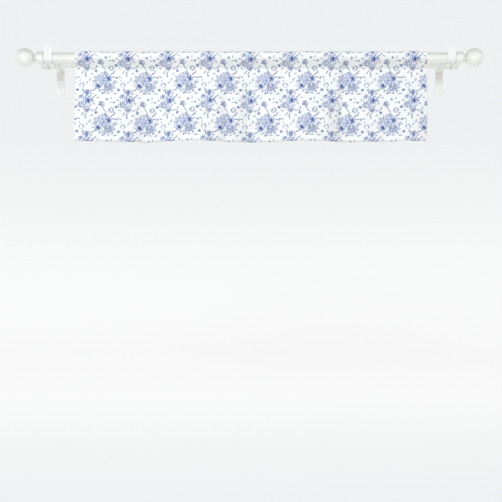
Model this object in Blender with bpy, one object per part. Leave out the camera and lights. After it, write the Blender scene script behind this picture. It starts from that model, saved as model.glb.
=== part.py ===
"""A short window valance with a rod pocket, hung on the front rod of a double curtain rod.

Units are metres, +Z is up, +X runs along the rods and the room is on the -Y side.
The origin lies on the wall, midway between the two wall plates, level with their screw slots.
"""

import math
from collections import namedtuple

import bmesh
import bpy

# Rods
FRONT_ROD_RADIUS = 0.0175
FRONT_ROD_Y = -0.130
FRONT_ROD_Z = 0.066
REAR_ROD_RADIUS = 0.014
REAR_ROD_Y = -0.071
REAR_ROD_Z = FRONT_ROD_Z - FRONT_ROD_RADIUS + REAR_ROD_RADIUS
GAP = 0.0003
ROUND_SIDES = 24

# Turned ends of the front rod: a sleeve over the rod, a neck and a ball
FINIAL_START_X = 0.668
SLEEVE_RADIUS = 0.0205
SLEEVE_STRAIGHT = 0.018
SLEEVE_LENGTH = 0.0265
SOCKET_DEPTH = 0.016
NECK_RADIUS = 0.007
BALL_RADIUS = 0.0312
BALL_CENTRE = 0.061

# Round caps of the rear rod
CAP_START_X = 0.671
CAP_RADIUS = 0.0195
CAP_LENGTH = 0.024
CAP_ROUNDING = 0.006
CAP_SOCKET_DEPTH = 0.016

# Brackets
BRACKET_X = 0.651
PLATE_WIDTH = 0.0275
PLATE_THICKNESS = 0.004
PLATE_LOW = -0.0265
PLATE_HIGH = 0.084
PLATE_CHAMFER = 0.0008
SLOT_WIDTH = 0.0066
SLOT_LENGTH = 0.026
RIM_WIDTH = 0.0026
RIM_HEIGHT = 0.0007
ARM_WIDTH = 0.010
ARM_LOW = 0.0495
ARM_HIGH = 0.0635
ARM_ROOT_FLARE = 0.005
CUP_WALL = 0.003
FRONT_CUP_WIDTH = 0.0265
FRONT_CUP_FRONT_RISE = 0.032
FRONT_CUP_BACK_RISE = 0.012
REAR_CUP_WIDTH = 0.031
REAR_CUP_RISE = 0.010
CUP_CORNER_RADIUS = 0.006
EDGE_BEVEL = 0.0006

# Valance, as it hangs
CLOTH = 0.0015
HEM_EXTRA = 0.0012
SEAM_Z = 0.0316
HEM_Z = -0.205
HALF_WIDTH = 0.576
HEM_HEIGHT = 0.025
SIDE_HEM = 0.020
HEM_STEP = 0.002
STATIONS = 70
SKIRT_ROWS = 6
POCKET_ARC_STEPS = 10
POCKET_SIDE_STEPS = 2

# Broad folds: where they are along the rod, how far they lean at the hem (towards the wall is plus),
# and how wide they are
Wave = namedtuple("Wave", "centre depth spread")
WAVES = (
    Wave(-0.590, -0.016, 0.090),
    Wave(-0.343, 0.026, 0.040),
    Wave(-0.185, -0.024, 0.085),
    Wave(0.017, 0.026, 0.055),
    Wave(0.185, -0.018, 0.110),
    Wave(0.308, 0.028, 0.040),
    Wave(0.440, 0.006, 0.030),
    Wave(0.515, -0.014, 0.055),
)

# Sharp folds: place along the rod at the seam, sideways drift down to the hem, depth, half width,
# and the drop (0 at the seam, 1 at the hem) where each is deepest with its reach up and down
Crease = namedtuple("Crease", "centre drift depth spread middle reach")
CREASES = (
    Crease(-0.348, -0.004, 0.0035, 0.014, 0.30, 0.45),
    Crease(-0.275, -0.003, 0.0060, 0.015, 0.45, 0.35),
    Crease(-0.081, 0.002, 0.0080, 0.015, 0.72, 0.60),
    Crease(-0.013, 0.003, 0.0030, 0.014, 0.50, 0.50),
    Crease(0.110, -0.003, 0.0060, 0.015, 0.45, 0.38),
    Crease(0.303, -0.020, 0.0085, 0.016, 0.25, 0.65),
)

# Puckers of the pocket: places along the rod where the cloth lifts off it
Pucker = namedtuple("Pucker", "centre lift spread")
PUCKERS = (
    Pucker(-0.520, 0.0022, 0.040),
    Pucker(-0.400, 0.0018, 0.045),
    Pucker(-0.270, 0.0024, 0.045),
    Pucker(-0.150, 0.0020, 0.040),
    Pucker(-0.040, 0.0024, 0.040),
    Pucker(0.070, 0.0020, 0.040),
    Pucker(0.185, 0.0024, 0.045),
    Pucker(0.300, 0.0022, 0.042),
    Pucker(0.415, 0.0020, 0.042),
    Pucker(0.525, 0.0024, 0.040),
)

# How far each side edge stands in from the half width, at equal steps from the seam to the hem
EDGE_INSETS = {-1: (0.009, 0.0055, 0.0015, 0.0), 1: (0.007, 0.001, 0.0, 0.0025)}

SIDES = {"left": -1, "right": 1}

Finish = namedtuple("Finish", "colour roughness metallic")
FINISHES = {
    "printed_cloth": Finish((0.80, 0.84, 0.93), 0.85, 0.0),
    "ivory_enamel": Finish((0.80, 0.82, 0.74), 0.25, 0.0),
    "white_enamel": Finish((0.90, 0.90, 0.88), 0.30, 0.0),
}


def clear_scene():
    for obj in list(bpy.data.objects):
        bpy.data.objects.remove(obj, do_unlink=True)


def material(slot):
    """The Principled material of this name, made on first use."""
    found = bpy.data.materials.get(slot)
    if found:
        return found
    finish = FINISHES[slot]
    made = bpy.data.materials.new(slot)
    made.use_nodes = True
    shader = made.node_tree.nodes["Principled BSDF"]
    shader.inputs["Base Color"].default_value = (*finish.colour, 1.0)
    shader.inputs["Roughness"].default_value = finish.roughness
    shader.inputs["Metallic"].default_value = finish.metallic
    return made


def add_object(name, mesh_data, slot, location):
    obj = bpy.data.objects.new(name, mesh_data)
    obj.location = location
    if not mesh_data.materials:
        mesh_data.materials.append(material(slot))
    bpy.context.scene.collection.objects.link(obj)
    return obj


def mesh_from(bm, name, smooth_angle=math.radians(35)):
    """Closes the bmesh into mesh data with outward normals and smooth round faces."""
    bmesh.ops.recalc_face_normals(bm, faces=bm.faces)
    data = bpy.data.meshes.new(name)
    bm.to_mesh(data)
    bm.free()
    data.shade_smooth()
    data.set_sharp_from_angle(angle=smooth_angle)
    return data


def arc(centre, radius, start, end, steps):
    """Points of a circle's arc, both ends included, for angles in radians."""
    return [
        (
            centre[0] + radius * math.cos(start + (end - start) * i / steps),
            centre[1] + radius * math.sin(start + (end - start) * i / steps),
        )
        for i in range(steps + 1)
    ]


def turned(profile):
    """A solid turned about the X axis from (x, radius) points that start and end on the axis."""
    bm = bmesh.new()
    verts = [bm.verts.new((x, 0, radius)) for x, radius in profile]
    edges = [bm.edges.new(pair) for pair in zip(verts, verts[1:])]
    bmesh.ops.spin(
        bm,
        geom=verts + edges,
        cent=(0, 0, 0),
        axis=(1, 0, 0),
        angle=2 * math.pi,
        steps=ROUND_SIDES,
        use_merge=True,
    )
    bmesh.ops.remove_doubles(bm, verts=bm.verts, dist=1e-6)
    return bm


def extruded(outline, width):
    """A (y, z) outline made into a slab, centred on x = 0."""
    bm = bmesh.new()
    face = bm.faces.new([bm.verts.new((-width / 2, y, z)) for y, z in outline])
    pushed = bmesh.ops.extrude_face_region(bm, geom=[face])
    moved = [item for item in pushed["geom"] if isinstance(item, bmesh.types.BMVert)]
    bmesh.ops.translate(bm, verts=moved, vec=(width, 0, 0))
    return bm


def round_top_corners(bm, height, radius):
    """Rounds the two corners at the top of a cup's wall, seen from the front."""
    corners = [
        edge
        for edge in bm.edges
        if all(abs(v.co.z - height) < 1e-6 for v in edge.verts)
        and abs(edge.verts[0].co.x - edge.verts[1].co.x) < 1e-6
    ]
    bmesh.ops.bevel(bm, geom=corners, offset=radius, segments=4, profile=0.5, affect="EDGES")


def add_edge_bevel(obj):
    bevel = obj.modifiers.new("edges", "BEVEL")
    bevel.width = EDGE_BEVEL
    bevel.segments = 1
    bevel.limit_method = "ANGLE"
    bevel.angle_limit = math.radians(50)


def build_rod(name, radius, half_length, y, z):
    profile = [(-half_length, 0), (-half_length, radius), (half_length, radius), (half_length, 0)]
    data = mesh_from(turned(profile), name)
    add_object(name, data, "ivory_enamel", (0, y, z))


def finial_profile():
    """Socket for the rod, sleeve with a domed shoulder, neck and ball."""
    bore = FRONT_ROD_RADIUS + GAP
    shoulder_length = SLEEVE_LENGTH - SLEEVE_STRAIGHT
    shoulder_height = SLEEVE_RADIUS - NECK_RADIUS - 0.001
    shoulder = [
        (
            SLEEVE_STRAIGHT + shoulder_length * math.sin(math.radians(turn)),
            SLEEVE_RADIUS - shoulder_height * (1 - math.cos(math.radians(turn))),
        )
        for turn in (0, 30, 60, 80, 90)
    ]
    ball_start = math.pi - math.asin(NECK_RADIUS / BALL_RADIUS)
    ball = arc((BALL_CENTRE, 0), BALL_RADIUS, ball_start, 0, 12)
    sleeve = [
        (SOCKET_DEPTH, 0),
        (SOCKET_DEPTH, bore),
        (0, bore),
        (0, SLEEVE_RADIUS - EDGE_BEVEL),
        (EDGE_BEVEL, SLEEVE_RADIUS),
    ]
    neck = [(SLEEVE_LENGTH + 0.001, NECK_RADIUS)]
    return sleeve + shoulder + neck + ball[:-1] + [(BALL_CENTRE + BALL_RADIUS, 0)]


def cap_profile():
    """Socket for the rear rod and a barrel with a rounded end."""
    bore = REAR_ROD_RADIUS + GAP
    rounded = arc(
        (CAP_LENGTH - CAP_ROUNDING, CAP_RADIUS - CAP_ROUNDING),
        CAP_ROUNDING,
        math.pi / 2,
        0,
        5,
    )
    return [
        (CAP_SOCKET_DEPTH, 0),
        (CAP_SOCKET_DEPTH, bore),
        (0, bore),
        (0, CAP_RADIUS - EDGE_BEVEL),
        (EDGE_BEVEL, CAP_RADIUS),
        *rounded,
        (CAP_LENGTH, 0),
    ]


def build_rod_ends():
    finial = mesh_from(turned(finial_profile()), "finial")
    cap = mesh_from(turned(cap_profile()), "end_cap")
    for side, sign in SIDES.items():
        turn = 0 if sign > 0 else math.pi
        ball = add_object(
            f"finial_{side}", finial, "ivory_enamel", (sign * FINIAL_START_X, FRONT_ROD_Y, FRONT_ROD_Z)
        )
        ball.rotation_euler.z = turn
        end = add_object(
            f"end_cap_{side}", cap, "ivory_enamel", (sign * CAP_START_X, REAR_ROD_Y, REAR_ROD_Z)
        )
        end.rotation_euler.z = turn


def rounded_outline(width, low, high, low_radius, high_radius):
    """An upright rounded rectangle as (x, z) points, the same count for any size."""
    right = width / 2
    corners = (
        ((right - low_radius, low + low_radius), low_radius, -90),
        ((right - high_radius, high - high_radius), high_radius, 0),
        ((high_radius - right, high - high_radius), high_radius, 90),
        ((low_radius - right, low + low_radius), low_radius, 180),
    )
    points = []
    for centre, radius, start in corners:
        points += arc(centre, radius, math.radians(start), math.radians(start + 89.9), 5)
    return points


def slot_outline(grow):
    """The screw slot's outline, grown outwards by this much."""
    half = SLOT_LENGTH / 2 + grow
    radius = SLOT_WIDTH / 2 + grow - 0.00001
    return rounded_outline(SLOT_WIDTH + 2 * grow, -half, half, radius, radius)


def plate_outline(inset):
    low_radius = PLATE_WIDTH / 2 - 0.002 - inset
    return rounded_outline(
        PLATE_WIDTH - 2 * inset, PLATE_LOW + inset, PLATE_HIGH - inset, low_radius, 0.005 - inset
    )


def plate_mesh():
    """A wall plate whose section runs round from its back face, over the front and in through the slot."""
    front = -PLATE_THICKNESS
    rings = (
        (plate_outline(0), 0),
        (plate_outline(0), front + PLATE_CHAMFER),
        (plate_outline(PLATE_CHAMFER), front),
        (slot_outline(RIM_WIDTH), front),
        (slot_outline(RIM_WIDTH - RIM_HEIGHT), front - RIM_HEIGHT),
        (slot_outline(RIM_HEIGHT), front - RIM_HEIGHT),
        (slot_outline(0), front),
        (slot_outline(0), 0),
    )
    bm = bmesh.new()
    loops = [[bm.verts.new((x, y, z)) for x, z in outline] for outline, y in rings]
    for loop, following in zip(loops, loops[1:] + loops[:1]):
        for i in range(len(loop)):
            j = (i + 1) % len(loop)
            bm.faces.new((loop[i], loop[j], following[j], following[i]))
    return mesh_from(bm, "wall_plate")


def cup_outline(rod_radius, front_rise, back_rise):
    """A J-shaped saddle about the rod's axis: front wall, round bottom and back wall."""
    inner = rod_radius + GAP
    outer = inner + CUP_WALL
    outside = arc((0, 0), outer, math.pi, 2 * math.pi, 12)
    inside = arc((0, 0), inner, 2 * math.pi, math.pi, 12)
    return [(-outer, front_rise), *outside, (outer, back_rise), (inner, back_rise), *inside, (-inner, front_rise)]


def cup_mesh(name, rod_radius, width, front_rise, back_rise):
    bm = extruded(cup_outline(rod_radius, front_rise, back_rise), width)
    round_top_corners(bm, front_rise, CUP_CORNER_RADIUS)
    if back_rise != front_rise:
        round_top_corners(bm, back_rise, CUP_CORNER_RADIUS / 2)
    return mesh_from(bm, name)


def edge_of_cup(rod_y, rod_z, rod_radius, z, side):
    """The y of a cup's outer face at this height, with a gap; side is 1 at the back and -1 in front."""
    reach = rod_radius + GAP + CUP_WALL + GAP
    below = min(0, z - rod_z)
    return rod_y + side * math.sqrt(reach**2 - below**2)


def heights_of_arm():
    steps = 4
    return [ARM_LOW + (ARM_HIGH - ARM_LOW) * i / steps for i in range(steps + 1)]


def arm_mesh():
    """The bar from the wall plate to the rear cup, deeper where it is rooted in the plate."""
    root_y = -PLATE_THICKNESS - GAP
    neck_y = root_y - 2 * ARM_ROOT_FLARE
    front = [
        (edge_of_cup(REAR_ROD_Y, REAR_ROD_Z, REAR_ROD_RADIUS, z, 1), z) for z in heights_of_arm()
    ]
    root = [
        (neck_y, ARM_HIGH),
        (root_y, ARM_HIGH + ARM_ROOT_FLARE),
        (root_y, ARM_LOW - ARM_ROOT_FLARE),
        (neck_y, ARM_LOW),
    ]
    return mesh_from(extruded(front + root, ARM_WIDTH), "bracket_arm")


def link_mesh():
    """The bar between the rear cup and the front cup."""
    back = [
        (edge_of_cup(REAR_ROD_Y, REAR_ROD_Z, REAR_ROD_RADIUS, z, -1), z) for z in heights_of_arm()
    ]
    front = [
        (edge_of_cup(FRONT_ROD_Y, FRONT_ROD_Z, FRONT_ROD_RADIUS, z, 1), z) for z in heights_of_arm()
    ]
    return mesh_from(extruded(front + back[::-1], ARM_WIDTH), "bracket_link")


def build_brackets():
    pieces = (
        ("wall_plate", plate_mesh(), "ivory_enamel", 0, 0),
        ("bracket_arm", arm_mesh(), "ivory_enamel", 0, 0),
        ("bracket_link", link_mesh(), "ivory_enamel", 0, 0),
        (
            "front_cup",
            cup_mesh(
                "front_cup", FRONT_ROD_RADIUS, FRONT_CUP_WIDTH, FRONT_CUP_FRONT_RISE, FRONT_CUP_BACK_RISE
            ),
            "white_enamel",
            FRONT_ROD_Y,
            FRONT_ROD_Z,
        ),
        (
            "rear_cup",
            cup_mesh("rear_cup", REAR_ROD_RADIUS, REAR_CUP_WIDTH, REAR_CUP_RISE, REAR_CUP_RISE),
            "ivory_enamel",
            REAR_ROD_Y,
            REAR_ROD_Z,
        ),
    )
    for side, sign in SIDES.items():
        for name, data, slot, y, z in pieces:
            obj = add_object(f"{name}_{side}", data, slot, (sign * BRACKET_X, y, z))
            if name != "wall_plate":
                add_edge_bevel(obj)


def hump(distance, spread):
    return math.exp(-((distance / spread) ** 2))


def fold(x, drop):
    """How far the skirt leans towards the wall at x, for a drop of 0 at the seam to 1 at the hem."""
    growth = 0.08 + 0.92 * drop**1.2
    lean = growth * sum(wave.depth * hump(x - wave.centre, wave.spread) for wave in WAVES)
    for crease in CREASES:
        along = hump(drop - crease.middle, crease.reach)
        across = hump(x - crease.centre - crease.drift * drop, crease.spread)
        lean += crease.depth * along * across
    return lean


def pocket_lift(x):
    return sum(pucker.lift * hump(x - pucker.centre, pucker.spread) for pucker in PUCKERS)


def station_places():
    """Places across the width from -1 to 1, closer together at the side hems' inner edges."""
    hem_edge = 1 - SIDE_HEM / HALF_WIDTH
    step_edge = hem_edge - HEM_STEP / HALF_WIDTH
    inner = [step_edge * (2 * i / (STATIONS - 1) - 1) for i in range(STATIONS)]
    return [-1, -hem_edge, *inner, hem_edge, 1]


def skirt_drops():
    """Drops of the skirt's rows from 0 to 1, with a pair of rows at the bottom hem's upper edge."""
    length = SEAM_Z - HEM_Z
    hem_top = 1 - HEM_HEIGHT / length
    above = [(hem_top - HEM_STEP / length) * i / (SKIRT_ROWS - 1) for i in range(SKIRT_ROWS)]
    return [*above, hem_top, 1]


def half_width(place, drop):
    """The valance's half width on this side, between the steps of its edge's insets."""
    insets = EDGE_INSETS[1 if place > 0 else -1]
    position = drop * (len(insets) - 1)
    step = min(int(position), len(insets) - 2)
    share = position - step
    return HALF_WIDTH - insets[step] * (1 - share) - insets[step + 1] * share


def skirt_section(place, drops):
    """Front and back points of the skirt at one station, hems thicker on the back."""
    side_hem = abs(place) > 1 - (SIDE_HEM + HEM_STEP / 2) / HALF_WIDTH
    front = []
    back = []
    for row, drop in enumerate(drops):
        x = place * half_width(place, drop)
        y = FRONT_ROD_Y + fold(x, drop)
        z = SEAM_Z - math.sqrt(((SEAM_Z - HEM_Z) * drop) ** 2 - (fold(x, drop) - fold(x, 0)) ** 2)
        bottom_hem = row >= len(drops) - 2
        extra = HEM_EXTRA if row and (side_hem or bottom_hem) else 0
        front.append((x, y - CLOTH / 2, z))
        back.append((x, y + CLOTH / 2 + extra, z))
    return front, back


def pocket_section(x, seam_y):
    """Outer and inner points of the pocket round the rod, from the seam's front up, over and down again."""
    lift = pocket_lift(x)
    radius = FRONT_ROD_RADIUS + GAP + CLOTH / 2 + lift / 2
    centre = (FRONT_ROD_Y, FRONT_ROD_Z + lift / 2)
    seam = (seam_y, SEAM_Z)
    distance = math.dist(centre, seam)
    down = math.atan2(seam[1] - centre[1], seam[0] - centre[0])
    half_opening = math.acos(radius / distance)
    start = down - half_opening + 2 * math.pi
    end = down + half_opening
    directions = []
    middles = []
    for i in range(POCKET_ARC_STEPS + 1):
        angle = start + (end - start) * i / POCKET_ARC_STEPS
        directions.append((math.cos(angle), math.sin(angle)))
        middles.append(
            (centre[0] + radius * directions[-1][0], centre[1] + radius * directions[-1][1])
        )
    for _ in range(1, POCKET_SIDE_STEPS):
        middles.insert(0, ((middles[0][0] + seam[0]) / 2, (middles[0][1] + seam[1]) / 2))
        directions.insert(0, directions[0])
        middles.append(((middles[-1][0] + seam[0]) / 2, (middles[-1][1] + seam[1]) / 2))
        directions.append(directions[-1])
    outer, inner = (
        [(x, m[0] + half * d[0], m[1] + half * d[1]) for m, d in zip(middles, directions)]
        for half in (CLOTH / 2, -CLOTH / 2)
    )
    seam_inside = (x, seam_y, SEAM_Z + CLOTH / 2 / math.cos(half_opening))
    return outer, inner, seam_inside


def valance_mesh():
    """Skirt and pocket as one sheet with real thickness: a section at each station, joined along the width."""
    bm = bmesh.new()
    drops = skirt_drops()
    sections = []
    for place in station_places():
        front, back = skirt_section(place, drops)
        x = front[0][0]
        outer, inner, seam_inside = pocket_section(x, (front[0][1] + back[0][1]) / 2)
        corners = [[bm.verts.new(point) for point in row] for row in (front, back, outer, inner)]
        sections.append((*corners, bm.verts.new(seam_inside)))
    for section, following in zip(sections, sections[1:]):
        for outline, next_outline in zip(section_outlines(section), section_outlines(following)):
            for i in range(len(outline)):
                j = (i + 1) % len(outline)
                bm.faces.new((outline[i], outline[j], next_outline[j], next_outline[i]))
    for section in (sections[0], sections[-1]):
        close_end(bm, section)
    return mesh_from(bm, "valance")


def section_outlines(section):
    """The closed outline of a section, and the closed outline of the pocket's inside."""
    front, back, outer, inner, seam_inside = section
    return front[::-1] + outer + back, [seam_inside, *inner]


def close_end(bm, section):
    """Fills a side edge of the cloth: round the pocket, at the seam, and down the skirt."""
    front, back, outer, inner, seam_inside = section
    outer = [front[0], *outer, back[0]]
    inner = [seam_inside, *inner, seam_inside]
    for i in range(len(outer) - 1):
        bm.faces.new([outer[i], outer[i + 1], inner[i + 1], inner[i]])
    bm.faces.new((outer[0], outer[-1], seam_inside))
    for i in range(len(front) - 1):
        bm.faces.new((front[i], front[i + 1], back[i + 1], back[i]))


def main():
    clear_scene()
    front_half = FINIAL_START_X + SOCKET_DEPTH - GAP
    rear_half = CAP_START_X + CAP_SOCKET_DEPTH - GAP
    build_rod("front_rod", FRONT_ROD_RADIUS, front_half, FRONT_ROD_Y, FRONT_ROD_Z)
    build_rod("rear_rod", REAR_ROD_RADIUS, rear_half, REAR_ROD_Y, REAR_ROD_Z)
    build_rod_ends()
    build_brackets()
    add_object("valance", valance_mesh(), "printed_cloth", (0, 0, 0))


main()
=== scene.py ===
"""The looks of a short printed window valance that hangs by its rod pocket on a double curtain rod.

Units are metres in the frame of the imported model: the wall is at y = 0, the room is on the -Y side
and +Z is up. The cloth and the rods' turned ends are modelled here again, finer, over their solids.
The print is laid out in millimetres of flat cloth.
"""

import math
from collections import namedtuple

import bmesh
import bpy
import numpy as np
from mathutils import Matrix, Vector


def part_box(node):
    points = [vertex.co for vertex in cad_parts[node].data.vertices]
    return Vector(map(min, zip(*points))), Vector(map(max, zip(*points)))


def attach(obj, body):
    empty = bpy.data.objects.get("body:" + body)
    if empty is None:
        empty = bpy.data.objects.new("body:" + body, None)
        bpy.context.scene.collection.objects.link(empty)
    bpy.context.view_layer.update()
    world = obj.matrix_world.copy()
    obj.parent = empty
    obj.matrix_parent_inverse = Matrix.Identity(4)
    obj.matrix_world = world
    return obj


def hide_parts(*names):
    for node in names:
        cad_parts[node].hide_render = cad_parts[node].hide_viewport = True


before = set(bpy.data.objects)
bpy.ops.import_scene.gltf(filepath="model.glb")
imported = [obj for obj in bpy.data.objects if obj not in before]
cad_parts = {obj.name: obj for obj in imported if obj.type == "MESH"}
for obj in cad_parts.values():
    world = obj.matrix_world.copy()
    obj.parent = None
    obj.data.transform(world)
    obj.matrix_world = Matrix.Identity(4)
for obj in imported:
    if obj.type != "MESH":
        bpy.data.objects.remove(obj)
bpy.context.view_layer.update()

# Camera of the photograph: level, well below the rods and a touch to the right of their middle
LENS = 47.98
SENSOR = 36.0
CAMERA_PLACE = (0.0038, -2.305, -0.5615)

# Studio: a round room, its key light far in front, and the colours of the light that comes from
# above, from all round, from below and from low behind. The paint glows by itself, more where it is
# low and behind the rods.
FLOOR_Z = -1.5
FLOOR_RADIUS = 4.2
SWEEP_RADIUS = 2.4
STUDIO_TOP = 8.0
KEY_PLACE = (-1.3, -5.8, 1.6)
KEY_SIZE = 1.6
KEY_POWER = 270.0
KEY_AIM = (0.0, -0.1, -0.05)
LIGHT_ABOVE = (0.12, 0.13, 0.14)
LIGHT_ROUND = (0.51, 0.515, 0.52)
LIGHT_BELOW = (0.275, 0.260, 0.240)
LIGHT_BEHIND = (1.15, 1.16, 1.17)
PAINT = (149, 151, 152)
PAINT_GLOW = (0.700, 0.715, 0.718)
PAINT_GLOW_LOW = (0.840, 0.839, 0.834)

# Front rod, from the frame
ROD_LOW, ROD_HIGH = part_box("front_rod")
ROD_RADIUS = (ROD_HIGH.z - ROD_LOW.z) / 2
ROD_Y = (ROD_HIGH.y + ROD_LOW.y) / 2
ROD_Z = (ROD_HIGH.z + ROD_LOW.z) / 2
GAP = 0.0003

# Valance, from the frame where it can be
CLOTH_LOW, CLOTH_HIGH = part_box("valance")
HALF_WIDTH = -CLOTH_LOW.x
HEM_Z = CLOTH_LOW.z
SEAM_Z = 0.0316
DROP = SEAM_Z - HEM_Z
PLY = 0.0007
HEM_HEIGHT = 0.025
SIDE_HEM = 0.020
HEM_STITCH = 0.022
SIDE_STITCH = 0.017
POCKET_TURN_UNDER = 0.0042
STEP = 0.0005
STATION_PITCH = 0.0031
ARC_ROWS = 26
POCKET_SIDE_ROWS = 7

# Broad folds: where they are along the rod, how far they lean at the hem (towards the wall is plus),
# and how wide they are
Wave = namedtuple("Wave", "centre depth spread")
WAVES = (
    Wave(-0.586, -0.016, 0.090),
    Wave(-0.339, 0.026, 0.040),
    Wave(-0.181, -0.024, 0.085),
    Wave(0.021, 0.026, 0.055),
    Wave(0.189, -0.018, 0.110),
    Wave(0.314, 0.022, 0.042),
    Wave(0.444, 0.006, 0.030),
    Wave(0.519, -0.014, 0.055),
)

# Sharp folds: place along the rod at the seam, sideways drift down to the hem, depth, half width,
# and the drop (0 at the seam, 1 at the hem) where each is deepest with its reach up and down
Crease = namedtuple("Crease", "centre drift depth spread middle reach")
CREASES = (
    Crease(-0.344, -0.004, 0.0045, 0.014, 0.30, 0.45),
    Crease(-0.271, -0.003, 0.0075, 0.015, 0.45, 0.35),
    Crease(-0.077, 0.002, 0.0100, 0.015, 0.72, 0.60),
    Crease(-0.009, 0.003, 0.0040, 0.014, 0.50, 0.50),
    Crease(0.114, -0.003, 0.0075, 0.015, 0.45, 0.38),
    Crease(0.312, -0.016, 0.0085, 0.012, 0.25, 0.65),
)

# Puckers of the pocket: places along the rod where the cloth lifts off it
Pucker = namedtuple("Pucker", "centre lift spread")
PUCKERS = (
    Pucker(-0.520, 0.0022, 0.040),
    Pucker(-0.400, 0.0018, 0.045),
    Pucker(-0.270, 0.0024, 0.045),
    Pucker(-0.150, 0.0020, 0.040),
    Pucker(-0.040, 0.0024, 0.040),
    Pucker(0.070, 0.0020, 0.040),
    Pucker(0.185, 0.0024, 0.045),
    Pucker(0.300, 0.0022, 0.042),
    Pucker(0.415, 0.0020, 0.042),
    Pucker(0.525, 0.0024, 0.040),
)

# How far each side edge stands in from the half width, at equal steps from the seam to the hem
LEFT_INSETS = (0.0125, 0.0096, 0.0084, 0.0083)
RIGHT_INSETS = (0.0034, -0.0006, -0.0006, 0.0024)

# Small relief of the sewn cloth
HEM_ROLL = 0.0022
HEM_ROLL_HEIGHT = 0.005
SEAM_PUCKER = 0.0007
HEM_PUCKER = 0.0005
DRAPE_RIPPLE = 0.0006
STITCH_DENT = 0.0004
THREAD_PITCH = 0.0008

# Sewing thread
STITCH_LENGTH = 0.0026
STITCH_PITCH = 0.0033
THREAD_RADIUS = 0.00027
THREAD_SIDES = 6
THREAD_LIGHT = (250, 250, 250)
THREAD_DARK = (236, 238, 240)

# Turned ends of the rods, as in the solids
FINIAL_START_X = 0.668
SLEEVE_RADIUS = 0.0205
SLEEVE_STRAIGHT = 0.018
SLEEVE_LENGTH = 0.0265
NECK_RADIUS = 0.007
BALL_RADIUS = 0.0312
BALL_CENTRE = 0.061
FINIAL_SOCKET = 0.016
CAP_START_X = 0.671
CAP_RADIUS = 0.0195
CAP_LENGTH = 0.024
CAP_ROUNDING = 0.006
CAP_SOCKET = 0.016
EDGE = 0.0008
TURNED_SIDES = 72

# Print: size of one repeat and where its corner lies, in millimetres along and above the seam's middle
REPEAT = (132.2, 136.0)
REPEAT_CORNER = (-563.2, -148.7)
WHITE = (248, 251, 252)
WASH = (231, 235, 246)
PALE = (203, 213, 236)
SOFT = (167, 182, 213)
MIDDLE = (106, 134, 191)
DARK = (38, 76, 148)
LEAF = (143, 154, 188)
TWIG = (108, 120, 154)

# Reverse of the cloth: how strongly the print shows there, and how much it glows, as painted light
# standing in for light coming through
REVERSE_PRINT = 0.3
REVERSE_GLOW = 0.1

# Enamels: colour, colour of the mottling and of the dust with painted shade on what faces up, roughness
# and metallic share
Enamel = namedtuple("Enamel", "colour shaded roughness metallic")
IVORY_ENAMEL = Enamel((250, 250, 245), (214, 220, 211), 0.25, 0.75)
WHITE_ENAMEL = Enamel((249, 249, 248), (226, 229, 224), 0.30, 0.6)

# A flower head: centre, turn in degrees, radius, number of petals (0 for a plain round), size of its
# dark heart, colours
Bloom = namedtuple("Bloom", "x y turn radius petals heart petal line")
# A leaf, bud, twig or stem: centre, turn in degrees, half length, half width, bend, how open it is,
# colour
Stroke = namedtuple("Stroke", "x y turn length width bend hollow ink")

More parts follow.
